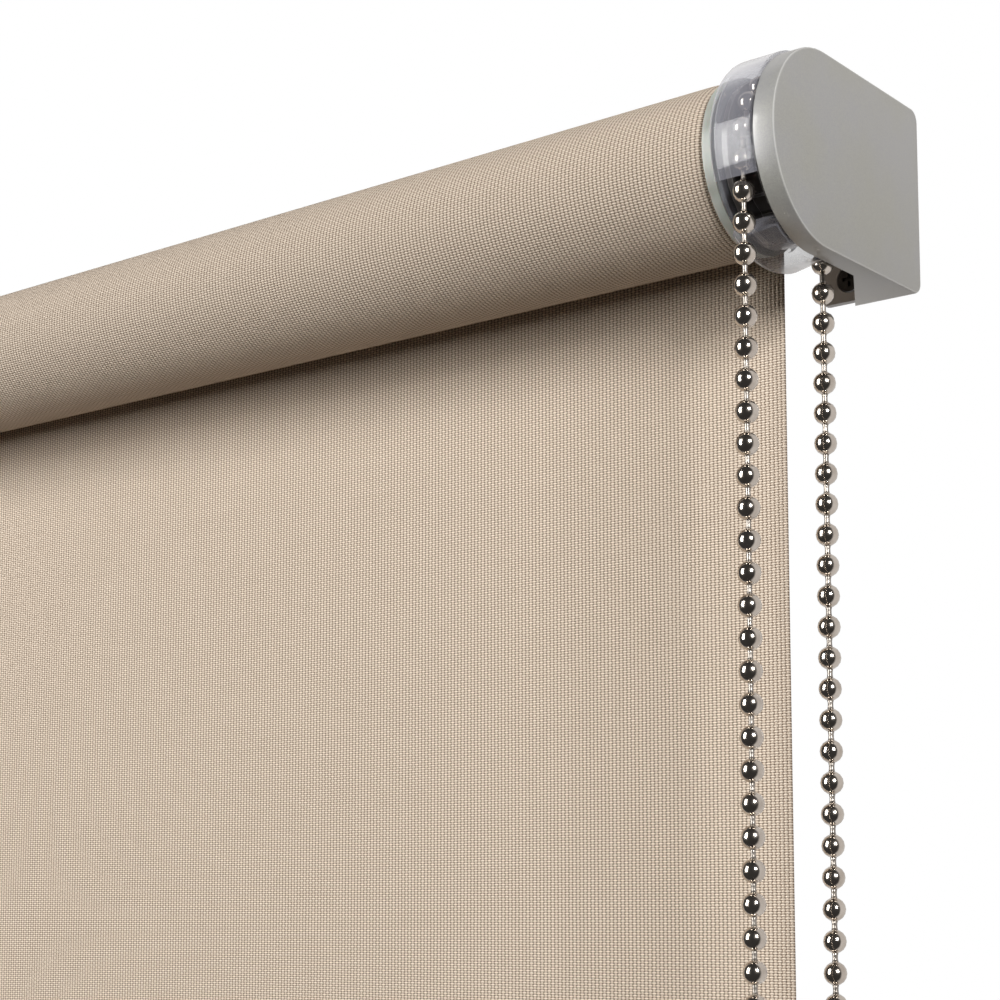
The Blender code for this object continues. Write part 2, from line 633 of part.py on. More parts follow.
def make_bottom_bar(materials, frame):
    """An extruded bar: the cloth hangs in its slot, held by a plastic cord in the chamber below."""
    left, right = CLOTH_LEFT, CLOTH_RIGHT
    bar = make_piece("bottom_bar", prism(bar_outline(), left, right), materials["bar"], frame)
    through = (left - 5 * MM, right + 5 * MM)
    cord_z = SLOT_BOTTOM_Z - CORD_RADIUS
    slot_half = CLOTH_THICKNESS / 2 + GAP
    low = (through[0], SHEET_MID_Y - slot_half, cord_z)
    high = (through[1], SHEET_MID_Y + slot_half, BAR_TOP_Z + 5 * MM)
    cut(bar, box(low, high))
    chamber = arc((SHEET_MID_Y, cord_z), CORD_RADIUS + GAP, 0, FULL_TURN * 23 / 24, 23)
    cut(bar, prism(chamber, *through))
    cut(bar, prism(bar_hollow(0), *through))

    cord = arc((SHEET_MID_Y, cord_z), CORD_RADIUS, 0, FULL_TURN * 15 / 16, 15)
    make_piece("bar_cord", prism(cord, left, right), materials["joiner"], frame)

    for side, bar_end, outwards in (("left", left, -1), ("right", right, 1)):
        plate = sorted((bar_end + outwards * GAP, bar_end + outwards * BAR_CAP))
        cap = make_piece(f"bar_cap_{side}", prism(bar_outline(), *plate), materials["cover"], frame)
        reach = sorted((bar_end + outwards * BAR_CAP / 2, bar_end - outwards * BAR_CAP_TONGUE))
        join(cap, prism(bar_hollow(GAP), *reach))


# ---------------------------------------------------------------- idle end
def make_idle_end(end, materials, turning, still, sliding):
    """A plug in the tube turns on a bush, and a sprung pin in the bush seats in the bracket."""
    plug_right = TUBE_LEFT + PLUG_LENGTH
    flange_right = TUBE_LEFT - GAP
    flange_left = flange_right - PLUG_FLANGE
    plug_bore = BUSH_RADIUS + GAP
    plug = [
        (flange_left, plug_bore),
        (flange_left, PLUG_FLANGE_RADIUS),
        (flange_right, PLUG_FLANGE_RADIUS),
        (flange_right, TUBE_BORE - GAP),
        (plug_right, TUBE_BORE - GAP),
        (plug_right, plug_bore),
    ]
    make_piece("idle_plug", turned(plug), materials["drum"], turning)

    bush_left = flange_left - BUSH_BEYOND_PLUG
    bush_right = plug_right - MM
    bush_bore = BUSH_RADIUS - BUSH_WALL
    pin_hole = PIN_RADIUS + GAP
    bush = [
        (bush_left, pin_hole),
        (bush_left, BUSH_RADIUS),
        (bush_right, BUSH_RADIUS),
        (bush_right, 0),
        (bush_right - BUSH_END_WALL, 0),
        (bush_right - BUSH_END_WALL, bush_bore),
        (bush_left + BUSH_END_WALL, bush_bore),
        (bush_left + BUSH_END_WALL, pin_hole),
    ]
    start_on_axis = bush[4:] + bush[:4]
    make_piece("idle_bush", turned(start_on_axis), materials["hub"], still)

    collar_left = bush_left + BUSH_END_WALL + GAP
    collar_right = collar_left + PIN_COLLAR
    tip = end.x(ARM_FACE_DEPTH) + 0.2 * MM
    neck = bush_left - MM
    pin = [
        (neck, 0),
        (neck, PIN_RADIUS),
        (collar_left, PIN_RADIUS),
        (collar_left, bush_bore - GAP),
        (collar_right, bush_bore - GAP),
        (collar_right, PIN_RADIUS - PIN_SPRING_WIRE - GAP),
        (collar_right + 2 * PIN_COLLAR, PIN_RADIUS - PIN_SPRING_WIRE - GAP),
        (collar_right + 2 * PIN_COLLAR, 0),
    ]
    idle_pin = make_piece("idle_pin", turned(pin, steps=32), materials["tube"], sliding)
    tip_outline = arc((0, 0), PIN_RADIUS - 0.02 * MM, 0, FULL_TURN * 5 / 6, 5)
    join(idle_pin, prism(tip_outline, tip, neck + MM))

    spring_left = collar_right + GAP + PIN_SPRING_WIRE / 2
    spring_right = bush_right - BUSH_END_WALL - GAP - PIN_SPRING_WIRE / 2
    pitch = (spring_right - spring_left) / PIN_SPRING_TURNS
    points = coil(spring_left, PIN_SPRING_TURNS, pitch, PIN_RADIUS + 0.2 * MM)
    make_tube("idle_spring", points, PIN_SPRING_WIRE / 2, materials["spring"], still)


# ---------------------------------------------------------------- bead chain
def make_chain(materials, still, joiner_frame):
    """The loop as a plain cord: the half turn on the wheel, and the free loop below the guard."""
    steps = 16
    half_turn = arc((0, 0), WHEEL_RADIUS, 0, math.pi, steps)
    over = [(-WHEEL_RADIUS, CHAIN_OUTLET_Z + GAP)]
    over += [(-y, z) for y, z in half_turn] + [(WHEEL_RADIUS, CHAIN_OUTLET_Z + GAP)]
    points = [(CHAIN_X, y, z) for y, z in over]
    make_tube("chain_on_wheel", points, BALL_RADIUS, materials["chain"], still, bevel_resolution=2)

    spacing = 2.75 * BALL_DIAMETER
    fall = STRAND_LENGTH + CHAIN_OUTLET_Z
    count = round(fall / spacing)
    heights = [CHAIN_OUTLET_Z - fall * step / count for step in range(count)]
    front = [(-WHEEL_RADIUS, z) for z in heights]
    bend = [(-y, z) for y, z in arc((0, -STRAND_LENGTH), WHEEL_RADIUS, 0, -math.pi, 8)]
    back = [(WHEEL_RADIUS, z) for z in reversed(heights)]
    points = [(CHAIN_X, y, z) for y, z in front + bend + back]
    make_tube("bead_chain", points, BALL_RADIUS, materials["chain"], still, bevel_resolution=2)

    bore = BALL_RADIUS + GAP
    outer = bore + JOINER_WALL
    half = JOINER_LENGTH / 2
    profile = [(-half, bore), (half, bore), (half, outer - 0.4 * MM), (half - 0.8 * MM, outer)]
    profile += [(0.8 * MM - half, outer), (-half, outer - 0.4 * MM)]
    sleeve = turned(profile, steps=24)
    bmesh.ops.rotate(sleeve, matrix=Matrix.Rotation(math.pi / 2, 3, "Y"), verts=sleeve.verts)
    make_piece("chain_joiner", sleeve, materials["joiner"], joiner_frame)


def main():
    clear_scene()
    materials = make_materials()
    control = End("control", FACE_X, -1)
    idle = End("idle", IDLE_FACE_X, 1)
    wall_frame = make_frame("wall_frame", (0, 0, 0))
    axis_frame = make_frame("axis_frame", (0, AXIS_Y, 0))
    roller_frame = make_frame("roller_turn", (0, AXIS_Y, 0))
    bar_frame = make_frame("bottom_bar_lift", (0, 0, 0))
    pin_frame = make_frame("idle_pin_slide", (0, AXIS_Y, 0))
    joiner_frame = make_frame("chain_joiner_lift", (CHAIN_X, AXIS_Y + WHEEL_RADIUS, JOINER_Z))

    make_bracket(control, materials, wall_frame, square_outline(HUB_SQUARE + 2 * GAP))
    make_bracket(idle, materials, wall_frame, hexagon_outline(PIN_RADIUS + 1.2 * GAP))
    for end in (control, idle):
        make_wall_screws(end, materials, wall_frame)
        make_cover(end, materials, wall_frame)

    make_guard(control, materials, axis_frame)
    make_hub(control, materials, axis_frame)
    make_brake_springs(materials, roller_frame)
    make_chain_wheel(materials, roller_frame)
    make_drum(materials, roller_frame)
    make_roll(materials, roller_frame)
    make_hanging_cloth(materials, wall_frame)
    make_bottom_bar(materials, bar_frame)
    make_idle_end(idle, materials, roller_frame, axis_frame, pin_frame)
    make_chain(materials, axis_frame, joiner_frame)


main()
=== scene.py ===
"""A roller blind on two wall brackets, worked by a bead chain at its right-hand end.

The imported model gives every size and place. This script adds the cloth's weave, the chain's balls
and links, and the finish of each part, then the floor, the lights and the camera.
"""

import json
import math

import bmesh
import bpy
from mathutils import Matrix, Vector


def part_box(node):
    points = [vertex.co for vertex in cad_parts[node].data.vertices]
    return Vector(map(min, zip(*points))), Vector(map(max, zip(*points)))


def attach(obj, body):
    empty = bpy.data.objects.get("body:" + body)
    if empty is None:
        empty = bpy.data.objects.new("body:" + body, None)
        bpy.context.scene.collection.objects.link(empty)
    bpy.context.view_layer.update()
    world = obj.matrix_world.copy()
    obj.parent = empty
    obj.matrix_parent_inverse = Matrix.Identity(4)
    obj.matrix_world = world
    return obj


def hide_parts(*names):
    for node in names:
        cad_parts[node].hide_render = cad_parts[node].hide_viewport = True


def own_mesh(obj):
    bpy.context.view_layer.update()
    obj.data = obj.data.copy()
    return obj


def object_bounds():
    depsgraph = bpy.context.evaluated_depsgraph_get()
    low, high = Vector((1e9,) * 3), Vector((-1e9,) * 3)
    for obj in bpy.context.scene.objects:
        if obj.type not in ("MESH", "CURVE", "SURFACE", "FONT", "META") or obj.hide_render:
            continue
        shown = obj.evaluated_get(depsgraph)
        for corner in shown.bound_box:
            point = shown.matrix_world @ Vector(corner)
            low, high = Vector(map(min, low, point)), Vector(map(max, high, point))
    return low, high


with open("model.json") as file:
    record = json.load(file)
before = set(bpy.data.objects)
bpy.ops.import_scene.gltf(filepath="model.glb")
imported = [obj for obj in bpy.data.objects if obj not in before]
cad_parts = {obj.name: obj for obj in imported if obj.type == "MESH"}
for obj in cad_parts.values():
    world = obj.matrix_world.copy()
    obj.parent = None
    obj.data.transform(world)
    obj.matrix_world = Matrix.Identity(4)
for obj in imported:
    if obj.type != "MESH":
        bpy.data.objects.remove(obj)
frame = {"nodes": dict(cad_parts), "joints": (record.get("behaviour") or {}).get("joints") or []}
nodes = frame["nodes"]
cad_box = [list(corner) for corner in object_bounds()]


# ---------------------------------------------------------------- wall brackets
# Two angles folded from 1.6 mm steel: a plate against the wall and an arm that carries the roller.
# They are pressed, deburred and plated in a grey satin zinc; their cut edges get a painted highlight, a lighter
# grey.
MM = 0.001
BRACKET_COLOUR = (0.36, 0.36, 0.365)
BRACKET_EDGE_HIGHLIGHT = (0.50, 0.50, 0.51)


def add(tree, kind, values=None, **settings):
    """Adds a node to a tree. Values are its inputs: a socket is linked, and anything else is set."""
    node = tree.nodes.new(kind)
    for name, value in settings.items():
        setattr(node, name, value)
    for key, value in (values or {}).items():
        if isinstance(value, bpy.types.NodeSocket):
            tree.links.new(value, node.inputs[key])
        else:
            node.inputs[key].default_value = value
    return node


def calculate(tree, operation, *values):
    """A Math node's result."""
    return add(tree, "ShaderNodeMath", dict(enumerate(values)), operation=operation).outputs[0]


def new_group(name, kind, inputs, outputs):
    """An empty node group with its named inputs and outputs, and its input and output nodes."""
    group = bpy.data.node_groups.new(name, kind)
    for side, sockets in (("INPUT", inputs), ("OUTPUT", outputs)):
        for socket, (socket_kind, value) in sockets.items():
            made = group.interface.new_socket(socket, in_out=side, socket_type="NodeSocket" + socket_kind)
            if value is not None:
                made.default_value = value
    return group, group.nodes.new("NodeGroupInput"), group.nodes.new("NodeGroupOutput")


shading, taken, given = new_group(
    "Round faces shade as round",
    "GeometryNodeTree",
    {"Geometry": ("Geometry", None), "Sharpest Bend": ("Float", math.radians(32))},
    {"Geometry": ("Geometry", None)},
)
plain = add(shading, "GeometryNodeRemoveAttribute", {"Geometry": taken.outputs[0], "Name": "custom_normal"})
skin = add(shading, "GeometryNodeMergeByDistance", {"Geometry": plain.outputs[0], "Distance": 0.001 * MM})
smooth = add(
    shading, "GeometryNodeSetShadeSmooth", {"Geometry": skin.outputs[0], "Shade Smooth": True}, domain="FACE"
)
bend = add(shading, "GeometryNodeInputMeshEdgeAngle")
blunt = add(
    shading,
    "FunctionNodeCompare",
    {0: bend.outputs["Unsigned Angle"], 1: taken.outputs["Sharpest Bend"]},
    data_type="FLOAT",
    operation="LESS_EQUAL",
)
edges = add(
    shading,
    "GeometryNodeSetShadeSmooth",
    {"Geometry": smooth.outputs[0], "Shade Smooth": blunt.outputs[0]},
    domain="EDGE",
)
shading.links.new(edges.outputs[0], given.inputs[0])


def shade_round(*names):
    """Gives CAD parts smooth round faces and sharp edges, with their shape as it is."""
    for name in names:
        nodes[name].modifiers.new("Round faces", "NODES").node_group = shading


def new_material(name, colour, roughness, metallic=0.0, **constants):
    """A material with a Principled shader. Constants are more of its inputs, with _ for a space."""
    material = bpy.data.materials.new(name)
    material.use_nodes = True
    shader = material.node_tree.nodes["Principled BSDF"]
    shader.inputs["Base Color"].default_value = (*colour, 1)
    shader.inputs["Roughness"].default_value = roughness
    shader.inputs["Metallic"].default_value = metallic
    for key, value in constants.items():
        shader.inputs[key.replace("_", " ")].default_value = value
    return material, material.node_tree, shader


def coat(material, *names):
    """Puts one material on CAD parts."""
    for name in names:
        for slot in nodes[name].material_slots:
            slot.material = material


grain, taken, given = new_group(
    "Grain",
    "ShaderNodeTree",
    {"Grain Size": ("Float", 0.2 * MM), "Patch Size": ("Float", 8 * MM), "Stretch": ("Vector", (1, 1, 1))},
    {"Height": ("Float", None), "Patches": ("Float", None)},
)
here = add(grain, "ShaderNodeTexCoord").outputs["Object"]
along = add(grain, "ShaderNodeVectorMath", {0: here, 1: taken.outputs["Stretch"]}, operation="MULTIPLY").outputs[0]
for size, detail, result in (("Grain Size", 3, "Height"), ("Patch Size", 2, "Patches")):
    scale = calculate(grain, "DIVIDE", 1, taken.outputs[size])
    noise = add(grain, "ShaderNodeTexNoise", {"Vector": along, "Scale": scale, "Detail": detail})
    grain.links.new(noise.outputs["Fac"], given.inputs[result])


def add_grain(tree, size, patch=8 * MM, stretch=(1, 1, 1)):
    """Places the grain group in a material."""
    values = {"Grain Size": size, "Patch Size": patch, "Stretch": stretch}
    node = add(tree, "ShaderNodeGroup", node_tree=grain)
    for key, value in values.items():
        node.inputs[key].default_value = value
    return node


def ramp(tree, value, low, high, from_low=0.3, from_high=0.7):
    """A value from low to high as the given one goes over its own range."""
    values = {"Value": value, "From Min": from_low, "From Max": from_high, "To Min": low, "To Max": high}
    return add(tree, "ShaderNodeMapRange", values).outputs["Result"]


def blend_colours(tree, share, first, second):
    """A mix of two colours, each a colour or a socket."""
    values = {"Factor": share}
    for key, colour in ((6, first), (7, second)):
        values[key] = colour if isinstance(colour, bpy.types.NodeSocket) else (*colour, 1)
    return add(tree, "ShaderNodeMix", values, data_type="RGBA").outputs[2]


def bump(tree, shader, height, depth, strength=1.0):
    """Raises a surface by a height from 0 to 1, with its full depth in metres."""
    node = add(tree, "ShaderNodeBump", {"Height": height, "Distance": depth, "Strength": strength})
    tree.links.new(node.outputs[0], shader.inputs["Normal"])


# A mask of sharp edges, used to paint a highlight along them in a lighter colour.
edge_light, taken, given = new_group(
    "Painted edge highlight", "ShaderNodeTree", {"Width": ("Float", 0.4 * MM)}, {"Edge": ("Float", None)}
)
rounded = add(edge_light, "ShaderNodeBevel", {"Radius": taken.outputs["Width"]}, samples=6)
flat = add(edge_light, "ShaderNodeNewGeometry")
agree = add(
    edge_light, "ShaderNodeVectorMath", {0: rounded.outputs[0], 1: flat.outputs["Normal"]}, operation="DOT_PRODUCT"
)
edge_light.links.new(ramp(edge_light, agree.outputs["Value"], 1, 0, 0.80, 0.995), given.inputs[0])

steel, tree, shader = new_material("Zinc-plated steel", BRACKET_COLOUR, 0.42, metallic=0.35)
fine = add_grain(tree, 0.12 * MM, patch=6 * MM)
edge_highlight = add(tree, "ShaderNodeGroup", node_tree=edge_light)
edge_highlight.inputs["Width"].default_value = 0.3 * MM
cloudy = blend_colours(
    tree, ramp(tree, fine.outputs["Patches"], 0, 1), BRACKET_COLOUR, tuple(1.35 * c for c in BRACKET_COLOUR)
)
# Painted highlight: the sharp edges are blended towards a lighter grey.
share = calculate(tree, "MULTIPLY", edge_highlight.outputs["Edge"], 0.6)
tree.links.new(blend_colours(tree, share, cloudy, BRACKET_EDGE_HIGHLIGHT), shader.inputs["Base Color"])
tree.links.new(ramp(tree, fine.outputs["Patches"], 0.36, 0.5), shader.inputs["Roughness"])
bump(tree, shader, fine.outputs["Height"], 0.02 * MM, 0.5)
coat(steel, "control_bracket", "idle_bracket")
shade_round("control_bracket", "idle_bracket")


# ---------------------------------------------------------------- wall screws and hub screw
# Black countersunk screws through the plates, and a broad-headed one that closes the clutch hub.
# They are hardened steel, blacked in hot oil, so they keep a slight brown-black gloss.
blacked, tree, shader = new_material("Blacked screw steel", (0.018, 0.018, 0.020), 0.34, metallic=0.55)
fine = add_grain(tree, 0.15 * MM, patch=1.5 * MM)
tree.links.new(
    blend_colours(tree, ramp(tree, fine.outputs["Patches"], 0, 1), (0.014, 0.014, 0.016), (0.045, 0.042, 0.040)),
    shader.inputs["Base Color"],
)
tree.links.new(ramp(tree, fine.outputs["Height"], 0.28, 0.46), shader.inputs["Roughness"])
wall_screws = [f"{end}_wall_screw_{place}" for end in ("control", "idle") for place in ("upper", "lower")]
coat(blacked, "hub_screw", *wall_screws)
shade_round("hub_screw", *wall_screws)


# ---------------------------------------------------------------- clutch hub and idle bush
# The two fixed bearings on the bracket arms, moulded in black glass-filled nylon.
# Such mouldings are dull, with a faint mottle where the glass comes near the surface.
nylon, tree, shader = new_material("Black nylon", (0.020, 0.020, 0.022), 0.5)
fine = add_grain(tree, 0.1 * MM, patch=3 * MM)
tree.links.new(
    blend_colours(tree, ramp(tree, fine.outputs["Patches"], 0, 1), (0.016, 0.016, 0.018), (0.040, 0.040, 0.043)),
    shader.inputs["Base Color"],
)
tree.links.new(ramp(tree, fine.outputs["Patches"], 0.42, 0.6), shader.inputs["Roughness"])
bump(tree, shader, fine.outputs["Height"], 0.03 * MM, 0.6)
coat(nylon, "clutch_hub", "idle_bush")
shade_round("clutch_hub", "idle_bush")


# ---------------------------------------------------------------- springs and idle pin
# Two wrap springs grip the clutch hub, and a third pushes the idle pin into its bracket.
# All are drawn spring wire and a turned steel pin, bright, with draw marks round them.
SPRING_COLOUR = (0.50, 0.49, 0.47)
bright, tree, shader = new_material("Spring steel", SPRING_COLOUR, 0.24, metallic=1.0)
fine = add_grain(tree, 0.1 * MM, patch=2 * MM, stretch=(4, 1, 1))
tree.links.new(
    blend_colours(tree, ramp(tree, fine.outputs["Patches"], 0, 1), SPRING_COLOUR, (0.36, 0.34, 0.31)),
    shader.inputs["Base Color"],
)
tree.links.new(ramp(tree, fine.outputs["Height"], 0.18, 0.34), shader.inputs["Roughness"])
coat(bright, "brake_spring_1", "brake_spring_2", "idle_spring", "idle_pin")
shade_round("brake_spring_1", "brake_spring_2", "idle_spring", "idle_pin")
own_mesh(nodes["idle_spring"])


# ---------------------------------------------------------------- chain wheel
# The pocketed wheel that the chain turns, with a ribbed floor between two flanges.
# It is moulded in smoke-grey polycarbonate: glossy and nearly black, with a painted highlight, a lighter grey, along
# its edges and thin ribs.
smoke, tree, shader = new_material(
    "Smoked polycarbonate", (0.080, 0.074, 0.071), 0.14, Coat_Weight=0.35, Coat_Roughness=0.06, IOR=1.58
)
fine = add_grain(tree, 0.3 * MM, patch=5 * MM)
edge_highlight = add(tree, "ShaderNodeGroup", node_tree=edge_light)
edge_highlight.inputs["Width"].default_value = 0.35 * MM
body = blend_colours(
    tree, ramp(tree, fine.outputs["Patches"], 0, 1), (0.060, 0.055, 0.053), (0.110, 0.102, 0.099)
)
# Painted highlight: edges and ribs are blended towards a light grey.
share = calculate(tree, "MULTIPLY", edge_highlight.outputs["Edge"], 0.7)
tree.links.new(blend_colours(tree, share, body, (0.36, 0.35, 0.35)), shader.inputs["Base Color"])
tree.links.new(ramp(tree, fine.outputs["Height"], 0.10, 0.20), shader.inputs["Roughness"])
coat(smoke, "chain_wheel")
shade_round("chain_wheel")


# ---------------------------------------------------------------- drive drum and idle plug
# The two plugs that fill the tube's ends and turn with it, moulded in natural acetal.
# Natural acetal is a milky, slightly green white with a waxy shine.
acetal, tree, shader = new_material(
    "Natural acetal", (0.42, 0.445, 0.41), 0.36, Subsurface_Weight=0.15, Subsurface_Scale=1.5 * MM
)
fine = add_grain(tree, 0.2 * MM, patch=5 * MM)
tree.links.new(
    blend_colours(tree, ramp(tree, fine.outputs["Patches"], 0, 1), (0.38, 0.405, 0.37), (0.46, 0.485, 0.45)),
    shader.inputs["Base Color"],
)
tree.links.new(ramp(tree, fine.outputs["Patches"], 0.30, 0.44), shader.inputs["Roughness"])
bump(tree, shader, fine.outputs["Height"], 0.02 * MM, 0.5)
coat(acetal, "drive_drum", "idle_plug")
shade_round("drive_drum", "idle_plug")


# ---------------------------------------------------------------- chain guard and chain joiner
# A clear shroud round the wheel keeps the chain in its pockets and lets it out below, and a clear
# sleeve snaps over the two balls where the chain's ends meet. Both are moulded in a soft clear
# plastic that is a little milky, so their walls show pale; where a wall turns away from the view
# it shows more of the milk, and its colour there is painted paler still, a painted sheen.
MILK = (0.40, 0.40, 0.455)
GRAZING_SHEEN = (0.82, 0.82, 0.86)
clear, tree, shader = new_material(
    "Milky clear plastic", MILK, 0.16, IOR=1.49, Coat_Weight=0.5, Coat_Roughness=0.06
)
fine = add_grain(tree, 0.35 * MM, patch=9 * MM)
facing = add(tree, "ShaderNodeLayerWeight", {"Blend": 0.5}).outputs["Facing"]
cloud = ramp(tree, fine.outputs["Patches"], 0.22, 0.32)
rim = ramp(tree, facing, 0, 0.6, 0.5, 0.95)
tree.links.new(calculate(tree, "ADD", cloud, rim), shader.inputs["Alpha"])
# Painted sheen: the colour turns paler where the surface faces away from the view.
tree.links.new(
    blend_colours(tree, ramp(tree, facing, 0, 1, 0.5, 0.9), MILK, GRAZING_SHEEN),
    shader.inputs["Base Color"],
)
tree.links.new(ramp(tree, fine.outputs["Patches"], 0.08, 0.20), shader.inputs["Roughness"])
coat(clear, "chain_guard", "chain_joiner")
shade_round("chain_guard", "chain_joiner")


# ---------------------------------------------------------------- bead chain
# One endless loop of 4.5 mm pressed steel balls on short wires, 6 mm from ball to ball, plated in
# bright nickel. Ten balls ride over the wheel, and the rest hang below the guard in a free loop.
BALL_DIAMETER = 4.5 * MM
BALL_PITCH = 6.0 * MM
LINK_RADIUS = 0.52 * MM
LINK_FLARE = 0.66 * MM
BALLS_IN_LOOP = 160
BALLS_ON_WHEEL = 10
WHEEL_POCKETS = 15
OUTLET_Z = -9.0 * MM
wheel_radius = BALL_PITCH / 2 / math.sin(math.pi / WHEEL_POCKETS)
chain_low, chain_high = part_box("bead_chain")
chain_x = (chain_low.x + chain_high.x) / 2
axis_y = (chain_low.y + chain_high.y) / 2
strand = (BALLS_IN_LOOP * BALL_PITCH - math.tau * wheel_radius) / 2

steps = 34
heights = [OUTLET_Z - (strand + OUTLET_Z) * step / steps for step in range(steps)]
route = [(chain_x, axis_y - wheel_radius, z) for z in heights]
for step in range(9):
    turn = math.pi * step / 8
    route.append((chain_x, axis_y - wheel_radius * math.cos(turn), -strand - wheel_radius * math.sin(turn)))
route += [(chain_x, axis_y + wheel_radius, z) for z in reversed(heights)]


def on_loop(distance):
    """A ball's middle and the chain's direction, at a distance along the loop from the front outlet."""
    fall = strand + OUTLET_Z
    half_turn = math.pi * wheel_radius
    distance %= 2 * strand + 2 * half_turn
    front, back = axis_y - wheel_radius, axis_y + wheel_radius
    if distance <= fall:
        return Vector((chain_x, front, OUTLET_Z - distance)), Vector((0, 0, -1))
    distance -= fall
    if distance <= half_turn:
        turn = distance / wheel_radius
        middle = (chain_x, axis_y - wheel_radius * math.cos(turn), -strand - wheel_radius * math.sin(turn))
        return Vector(middle), Vector((0, math.sin(turn), -math.cos(turn)))
    distance -= half_turn
    if distance <= strand:
        return Vector((chain_x, back, distance - strand)), Vector((0, 0, 1))
    distance -= strand
    if distance <= half_turn:
        turn = distance / wheel_radius
        middle = (chain_x, axis_y + wheel_radius * math.cos(turn), wheel_radius * math.sin(turn))
        return Vector(middle), Vector((0, -math.sin(turn), math.cos(turn)))
    return Vector((chain_x, front, half_turn - distance)), Vector((0, 0, -1))


def deselect():
    """Clears the selection, because an operator acts on all that is selected."""
    for thing in list(bpy.context.selected_objects):
        thing.select_set(False)


deselect()
bpy.ops.mesh.primitive_uv_sphere_add(segments=14, ring_count=8, radius=BALL_DIAMETER / 2, location=(0, 0, 0))
ball = bpy.context.object
bpy.ops.object.shade_smooth()
deselect()
bpy.ops.mesh.primitive_cylinder_add(vertices=6, radius=LINK_FLARE, depth=BALL_PITCH - BALL_DIAMETER + 0.5 * MM)
link = bpy.context.object
bpy.ops.object.mode_set(mode="EDIT")
bpy.ops.mesh.select_all(action="DESELECT")
shape = bmesh.from_edit_mesh(link.data)
for edge in shape.edges:
    edge.select_set(abs(edge.verts[0].co.z - edge.verts[1].co.z) > 1 * MM)
bmesh.update_edit_mesh(link.data)
bpy.ops.mesh.subdivide(number_cuts=2)
shape = bmesh.from_edit_mesh(link.data)
for vertex in shape.verts:
    vertex.select_set(abs(vertex.co.z) < 0.6 * MM)
shape.select_flush(True)
bmesh.update_edit_mesh(link.data)
bpy.ops.transform.resize(value=(LINK_RADIUS / LINK_FLARE, LINK_RADIUS / LINK_FLARE, 1.0))
bpy.ops.object.mode_set(mode="OBJECT")
bpy.ops.object.shade_smooth()


def string_chain(name, first, count):
    """One piece of chain: a run of balls along the loop, each with the link to the next."""
    copies = []
    for number in range(first, first + count):
        middle, direction = on_loop(1 * MM + number * BALL_PITCH)
        after, _ = on_loop(1 * MM + (number + 1) * BALL_PITCH)
        for part, place, axis in ((ball, middle, direction), (link, (middle + after) / 2, after - middle)):
            copy = bpy.data.objects.new(name, part.data.copy())
            bpy.context.collection.objects.link(copy)
            turn = Vector((0, 0, 1)).rotation_difference(axis)
            copy.data.transform(Matrix.LocRotScale(place, turn, None))
            copies.append(copy)
    deselect()
    for copy in copies:
        copy.select_set(True)
    bpy.context.view_layer.objects.active = copies[0]
    bpy.ops.object.join()
    return copies[0]


wire, tree, shader = new_material("Nickel wire", (0.40, 0.365, 0.33), 0.36, metallic=1.0)
fine = add_grain(tree, 0.3 * MM, patch=2.5 * MM)
tree.links.new(
    blend_colours(tree, ramp(tree, fine.outputs["Patches"], 0, 1), (0.44, 0.40, 0.36), (0.34, 0.31, 0.28)),
    shader.inputs["Base Color"],
)
tree.links.new(ramp(tree, fine.outputs["Patches"], 0.30, 0.42), shader.inputs["Roughness"])
link.data.materials.append(wire)
nickel, tree, shader = new_material("Bright nickel", (0.66, 0.605, 0.545), 0.2, metallic=1.0)
fine = add_grain(tree, 0.25 * MM, patch=2.5 * MM)
tree.links.new(
    blend_colours(tree, ramp(tree, fine.outputs["Patches"], 0, 1), (0.70, 0.645, 0.585), (0.56, 0.500, 0.44)),
    shader.inputs["Base Color"],
)
tree.links.new(ramp(tree, fine.outputs["Patches"], 0.11, 0.19), shader.inputs["Roughness"])
ball.data.materials.append(nickel)

free_loop = string_chain("bead_loop", 0, BALLS_IN_LOOP - BALLS_ON_WHEEL)
wheel_run = string_chain("beads_over_wheel", -BALLS_ON_WHEEL, BALLS_ON_WHEEL)
for piece, replaced in ((free_loop, "bead_chain"), (wheel_run, "chain_on_wheel")):
    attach(piece, "brackets")
    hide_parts(replaced)
for part in (ball, link):
    bpy.data.objects.remove(part)


# ---------------------------------------------------------------- roller tube
# A plain extruded aluminium tube, sawn square at both ends and left as it came from the press.
# The press leaves faint lines along it.
tube_metal, tree, shader = new_material("Mill aluminium", (0.60, 0.60, 0.61), 0.34, metallic=1.0)
fine = add_grain(tree, 0.3 * MM, patch=4 * MM, stretch=(0.03, 1, 1))
tree.links.new(
    blend_colours(tree, ramp(tree, fine.outputs["Patches"], 0, 1), (0.54, 0.54, 0.55), (0.68, 0.68, 0.69)),
    shader.inputs["Base Color"],
)
tree.links.new(ramp(tree, fine.outputs["Height"], 0.26, 0.44), shader.inputs["Roughness"])
coat(tube_metal, "roller_tube")
shade_round("roller_tube")


# ---------------------------------------------------------------- wound cloth
# The top of the blind's cloth, wound twice round the tube. It is a plain-woven screen cloth in
# beige yarn, coarser along the blind than across, and its cut edges are pressed a little flatter.
# The wraps are painted a shade darker than the single layer below: a painted shade for the light that comes through
# that single layer and not through the wraps.
WARP_PITCH = 0.95 * MM
WEFT_PITCH = 0.52 * MM
WEFT_COLOUR = (0.89, 0.765, 0.637)
WARP_COLOUR = (0.71, 0.590, 0.478)
GAP_SHADE_COLOUR = (0.13, 0.080, 0.048)
WOUND_PAINTED_SHADE = 0.85
TURNS = 2
WRAP_STEP = 0.37 * MM
WOUND_THICKNESS = 0.36 * MM
STEPS_PER_TURN = 96
SOFT_EDGE = 3.4 * MM
EDGE_PRESS = 0.8
END_GAP = 0.15 * MM

